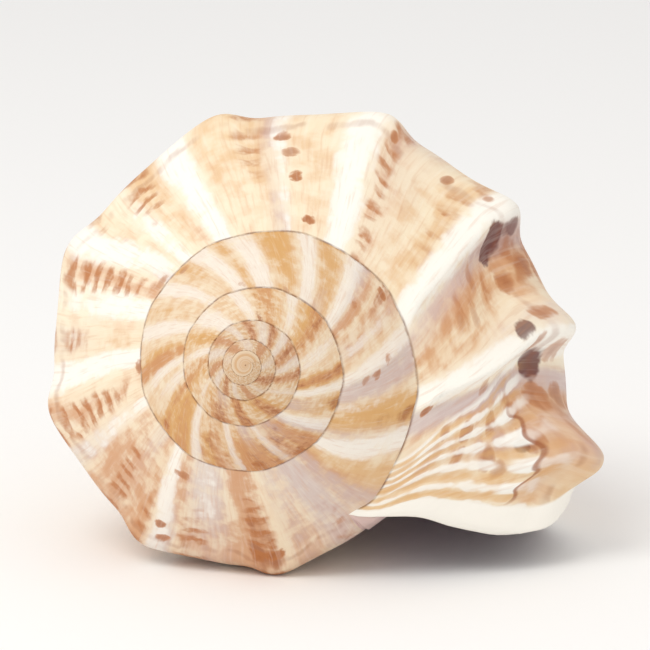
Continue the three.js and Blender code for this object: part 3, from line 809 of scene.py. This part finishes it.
class Paint:
    """Nodes of one material."""

    def __init__(self, name):
        self.material = bpy.data.materials.new(name)
        self.material.use_nodes = True
        self.tree = self.material.node_tree
        self.shader = self.tree.nodes["Principled BSDF"]

    def node(self, kind, settings=None, inputs=None, output=0):
        """Add a node: first its settings, then the values or links of its sockets."""
        node = self.tree.nodes.new(kind)
        for name, value in (settings or {}).items():
            setattr(node, name, value)
        self.feed(node, inputs or {})
        return Value(self, node.outputs[output])

    def feed(self, node, inputs):
        for key, value in inputs.items():
            if isinstance(value, Value):
                self.tree.links.new(value.socket, node.inputs[key])
            else:
                node.inputs[key].default_value = value

    def mix(self, first, second, share):
        """Blend of two colours."""
        inputs = {0: share, 6: first, 7: second}
        return self.node("ShaderNodeMix", {"data_type": "RGBA"}, inputs, 2)

    def parts(self, vector):
        return [self.node("ShaderNodeSeparateXYZ", None, {0: vector}, axis) for axis in range(3)]

    def attribute(self, name):
        vector = self.node("ShaderNodeAttribute", {"attribute_name": name}, None, "Vector")
        return self.parts(vector)

    def noise(self, across, down, kind):
        """Noise over two coordinates, of one of the kinds named above."""
        across_scale, down_scale, detail, shift = kind
        vector = self.node(
            "ShaderNodeCombineXYZ", None, {0: across * across_scale, 1: down * down_scale, 2: shift})
        return self.node("ShaderNodeTexNoise", None, {"Vector": vector, "Scale": 1.0, "Detail": detail})


def opaque(rgb):
    return (*rgb, 1.0)


def spot_mask(marking, along, spots, ragged):
    """Strongest of some rounded spots, whose edges are worn by noise."""
    total = None
    for middle, place, half_width, half_height, strength in spots:
        across = (marking - middle) * (1 / half_width)
        down = (along - place) * (1 / half_height)
        mask = (across * across + down * down + ragged).rise(1.5, 0.55) * strength
        total = mask if total is None else total.at_least(mask)
    return total


def shell_material(colours):
    """Glazed shell: washes and flames along the growth, a lavender bloom that is partly painted shade beside the
    ridges, dashes and spots, painted shade in the pockets beside the knobs, on the lower spire and on the older
    half of the body whorl, growth streaks, sutures drawn as a brown line with painted crease shadow, a porcelain
    lip and a mauve hollow."""
    paint = Paint("shell_glaze")
    mix = paint.mix
    place = paint.node("ShaderNodeUVMap", {"uv_map": "growth"})
    turns, along, _ = paint.parts(place)
    marking = turns * 360.0
    white, gold, tan = paint.attribute("wash")
    # Brown flames, lavender bloom and dash rows; the bloom and a few brown flames are partly painted shade
    brown, mist_and_painted_shade, dashes = paint.attribute("stain_and_shade")
    fan_place, inside, rim = paint.attribute("lip")

    streak, fine, blot, speck, thread = (
        paint.noise(marking, along, kind) for kind in (STREAK, FINE, BLOT, SPECK, THREAD))
    wear = (streak - 0.5) * 1.3 + (blot - 0.5) * 1.5 + (speck - 0.5) * 0.7

    def ragged(mask, low=0.2, high=0.85):
        return (mask + wear * mask.rise(0.0, 0.35)).rise(low, high)

    early = marking.rise(-300.0, -345.0)
    oldest = marking.rise(-640.0, -1000.0)
    clouds = streak.rise(0.42, 0.62) * 0.3 + blot.rise(0.42, 0.62) * 0.4
    ground = mix(opaque(colours.cream), opaque(colours.beige), clouds)
    ground = mix(ground, opaque(colours.gold), (early * 0.3 + oldest * 0.3) * blot.rise(0.3, 0.65))
    deep = 0.6 + early * 0.4
    skin = mix(ground, opaque(colours.gold), (gold * 0.5 + ragged(gold) * 0.55) * deep)
    skin = mix(skin, opaque(colours.tan), tan * 0.3 + ragged(tan) * 0.5)
    # Lavender bloom, partly painted shade beside the ridges and on the wall
    skin = mix(skin, opaque(colours.mist_and_painted_shade), mist_and_painted_shade * 0.45 + ragged(mist_and_painted_shade) * 0.35)
    # Brown flames; those on the lower half of the spire and the one beside a knob are painted shade
    skin = mix(skin, opaque(colours.brown), ragged(brown) * 0.7)
    pale = (white * 0.3 + ragged(white, 0.25, 0.85) * 0.6) * (1 - early * 0.22)
    skin = mix(skin, opaque(colours.white), pale)

    shifted = along + (blot - 0.5) * 0.2
    dash = ((shifted * (2 * math.pi / DASH_SPACING)).cosine() * 0.5 + 0.5).rise(0.2, 0.9)
    patchy = (dashes + (blot - 0.5) * 1.2 * dashes.rise(0.0, 0.3)).rise(0.2, 0.75)
    skin = mix(skin, opaque(colours.rust), patchy * dash * speck.rise(0.1, 0.6) * 0.85)
    worn = (blot - 0.5) * 3.5 + (speck - 0.5) * 3.0
    skin = mix(skin, opaque(colours.rust), spot_mask(marking, along, BROWN_SPOTS, worn) * 0.9)
    skin = mix(skin, opaque(colours.brown), spot_mask(marking, along, BROWN_SPOTS, worn + 0.7) * 0.45)
    # Painted shade in the pockets beside the knobs
    skin = mix(skin, opaque(colours.pocket_shade), spot_mask(marking, along, KNOB_POCKET_SHADE, worn) * 0.9)
    # Rose tint of the oldest whorls and a slight darkening of the spire, with painted shade darkening the older
    # half of the body whorl, from -150 to -290 degrees
    rose_tint_and_shade = marking.rise(-150.0, -290.0) * 0.1 + early * 0.06 + marking.rise(-850.0, -1250.0) * 0.4 * blot
    skin = mix(skin, opaque(colours.rose), rose_tint_and_shade)

    fan_window = fan_place.rise(1.05, 0.95) * along.rise(1.05, 0.95)
    wave = fan_place * (2 * math.pi * RIBS) + (fan_place * float(RIB_UNEVENNESS)).sine()
    crest = wave.cosine() * 0.5 + 0.5
    patches = paint.noise(fan_place, along, FAN_PATCHES)
    ribs = crest * 0.45 + patches * 1.1
    skin = mix(skin, opaque(colours.honey), ribs.rise(0.75, 0.5) * fan_window * 0.5)
    skin = mix(skin, opaque(colours.white), ribs.rise(0.75, 1.0) * fan_window * 0.8)
    fingers = along + crest * 0.05 + (patches - 0.5) * 0.06
    tips = fan_place.rise(0.13, 0.2) * fan_place.rise(0.8, 0.65)
    finger_tips = fingers.rise(0.7, 0.78) * fingers.rise(0.87, 0.85) * crest.rise(0.2, 0.6)
    finger_line = fingers.rise(0.845, 0.86) * fingers.rise(0.895, 0.87)
    past_fingers = fingers.rise(0.85, 0.88) * along.rise(1.15, 1.0)
    skin = mix(skin, opaque(colours.white), finger_tips * tips * 0.9)
    skin = mix(skin, opaque(colours.tan), past_fingers * tips * 0.35)
    skin = mix(skin, opaque(colours.brown), finger_line * tips * 0.7)

    # Suture: partly the joint's own brown line, partly painted crease shadow beside it; wider on older whorls
    # and, on the early whorls, also along the shoulder next to the next whorl
    reach = 0.022 + early * 0.02 + oldest * 0.05
    seam = (along / reach).rise(1.0, 0.2) * (0.3 + blot.rise(0.35, 0.6) * 0.7)
    edge = along.rise(0.975, 1.0) * early * speck.rise(0.35, 0.65)
    skin = mix(skin, opaque(colours.suture), seam.at_least(edge * 0.7) * 0.8)
    bent = along + (blot - 0.5) * 0.1
    shoulder = bent.rise(1.02, 1.04) * bent.rise(1.062, 1.045) * streak.rise(0.35, 0.6)
    skin = mix(skin, opaque(colours.brown), shoulder * 0.3)
    skin = mix(skin, opaque(colours.tan), fine.rise(0.52, 0.7) * 0.2)
    skin = mix(skin, opaque(colours.white), fine.rise(0.48, 0.32) * 0.1)

    margin = fan_place.rise(0.145, 0.12) * inside.rise(0.001, 0.0)
    skin = mix(skin, opaque(colours.porcelain), margin.at_least(rim))
    throat = mix(opaque(colours.porcelain), opaque(colours.blush), inside.rise(0.0, 0.015))
    throat = mix(throat, opaque(colours.inside), inside.rise(0.005, 0.05))
    skin = mix(skin, throat, inside.rise(0.0, 0.004))

    height = thread * 0.3 + streak * 0.5 + fine * 0.3
    bump = paint.node("ShaderNodeBump", None, {"Strength": 0.4, "Distance": 0.0005, "Height": height})
    gloss = margin.at_least(rim).at_least(inside.rise(0.0, 0.01))
    paint.feed(paint.shader, {
        "Base Color": skin,
        "Roughness": 0.52 - gloss * 0.22 + (blot - 0.5) * 0.12,
        "Normal": bump,
        "Specular IOR Level": 0.35,
    })
    return paint.material


def floor_material(settings):
    paint = Paint("pale_floor")
    matt = {"Base Color": opaque(settings.floor), "Roughness": 0.9, "Specular IOR Level": 0.1}
    paint.feed(paint.shader, matt)
    return paint.material


def add_object(name, data):
    item = bpy.data.objects.new(name, data)
    bpy.context.scene.collection.objects.link(item)
    return item


class CONCH_OT_grow_shell(bpy.types.Operator):
    """Grow the shell as one closed mesh with its markings"""
    bl_idname = "conch.grow_shell"
    bl_label = "Grow shell"

    def execute(self, context):
        sizes = context.scene.conch_sizes
        form = ShellForm(sizes)
        mesh, shift = mesh_from_sheets("shell_skin", shell_sheets(form), sizes)
        mesh.materials.append(shell_material(context.scene.conch_colours))
        shell = add_object("shell_skin", mesh)
        context.scene["conch_apex"] = [shift[0], shift[1], sizes.rest_height]
        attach(shell, "root")
        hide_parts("shell")
        return {"FINISHED"}


APEX_PIXEL = (242.3, 364.9)
PICTURE_SIDE = 650
SENSOR_WIDTH = 36.0
FLOOR_SIDE = 8.0
FLOOR_GAP = 0.0001
SKY_COLOUR = (1.0, 0.985, 0.98)
LAMP_COLOUR = (1.0, 0.975, 0.93)
LAMP_SIZE = 0.7
LAMP_PLACE = (-0.4, -0.6, 1.0)
LAMP_AIM = (0, 0, 0.03)


class CONCH_OT_set_stage(bpy.types.Operator):
    """Set the floor, the light and the camera"""
    bl_idname = "conch.set_stage"
    bl_label = "Set stage"

    def execute(self, context):
        settings = context.scene.conch_stage
        self.add_floor(settings)
        self.add_light(context.scene, settings)
        self.add_camera(context.scene, settings)
        return {"FINISHED"}

    def add_floor(self, settings):
        half = FLOOR_SIDE / 2
        corners = [(x * half, y * half, -FLOOR_GAP) for x, y in ((-1, -1), (1, -1), (1, 1), (-1, 1))]
        mesh = bpy.data.meshes.new("floor")
        mesh.from_pydata(corners, [], [(0, 1, 2, 3)])
        mesh.materials.append(floor_material(settings))
        add_object("floor", mesh)

    def add_light(self, scene, settings):
        world = bpy.data.worlds.new("studio")
        world.use_nodes = True
        background = world.node_tree.nodes["Background"]
        background.inputs["Color"].default_value = opaque(SKY_COLOUR)
        background.inputs["Strength"].default_value = settings.sky
        scene.world = world
        lamp = bpy.data.lights.new("key", "AREA")
        lamp.shape = "DISK"
        lamp.size = LAMP_SIZE
        lamp.energy = settings.key
        lamp.color = LAMP_COLOUR
        key = add_object("key", lamp)
        key.location = LAMP_PLACE
        key.rotation_euler = (Vector(LAMP_AIM) - key.location).to_track_quat("-Z", "Y").to_euler()

    def add_camera(self, scene, settings):
        """The apex stands at APEX_PIXEL of the picture and at the given depth."""
        apex = Vector(scene["conch_apex"])
        turn, tilt = settings.azimuth, settings.elevation
        forward = Vector((-math.sin(turn) * math.cos(tilt), math.cos(turn) * math.cos(tilt), -math.sin(tilt)))
        right = Vector((math.cos(turn), math.sin(turn), 0))
        up = right.cross(forward)
        middle = PICTURE_SIDE / 2
        sideways = (APEX_PIXEL[0] - middle) * settings.pixel
        downwards = (APEX_PIXEL[1] - middle) * settings.pixel
        data = bpy.data.cameras.new("camera")
        data.sensor_width = SENSOR_WIDTH
        data.lens = SENSOR_WIDTH * settings.distance / (PICTURE_SIDE * settings.pixel)
        camera = add_object("camera", data)
        camera.location = apex - forward * settings.distance - right * sideways + up * downwards
        camera.rotation_euler = forward.to_track_quat("-Z", "Y").to_euler()
        scene.camera = camera
        scene.view_settings.view_transform = "Standard"
        scene.view_settings.look = "None"


class CONCH_PT_panel(bpy.types.Panel):
    """Sizes, colours and steps of the conch shell"""
    bl_idname = "CONCH_PT_panel"
    bl_label = "Conch shell"
    bl_space_type = "VIEW_3D"
    bl_region_type = "UI"
    bl_category = "Conch"

    def draw(self, context):
        layout = self.layout
        layout.operator(CONCH_OT_grow_shell.bl_idname)
        layout.operator(CONCH_OT_set_stage.bl_idname)
        for name in PROPERTY_GROUPS:
            box = layout.box()
            group = getattr(context.scene, name)
            for key in type(group).__annotations__:
                box.prop(group, key)


PROPERTY_GROUPS = {"conch_sizes": ShellSizes, "conch_colours": ShellColours, "conch_stage": StageSettings}
CLASSES = (*PROPERTY_GROUPS.values(), CONCH_OT_grow_shell, CONCH_OT_set_stage, CONCH_PT_panel)


def register():
    for item in CLASSES:
        bpy.utils.register_class(item)
    for name, group in PROPERTY_GROUPS.items():
        setattr(bpy.types.Scene, name, bpy.props.PointerProperty(type=group))


def unregister():
    for name in PROPERTY_GROUPS:
        delattr(bpy.types.Scene, name)
    for item in reversed(CLASSES):
        bpy.utils.unregister_class(item)


def main():
    register()
    bpy.ops.conch.grow_shell()
    bpy.ops.conch.set_stage()


if __name__ == "__main__":
    main()
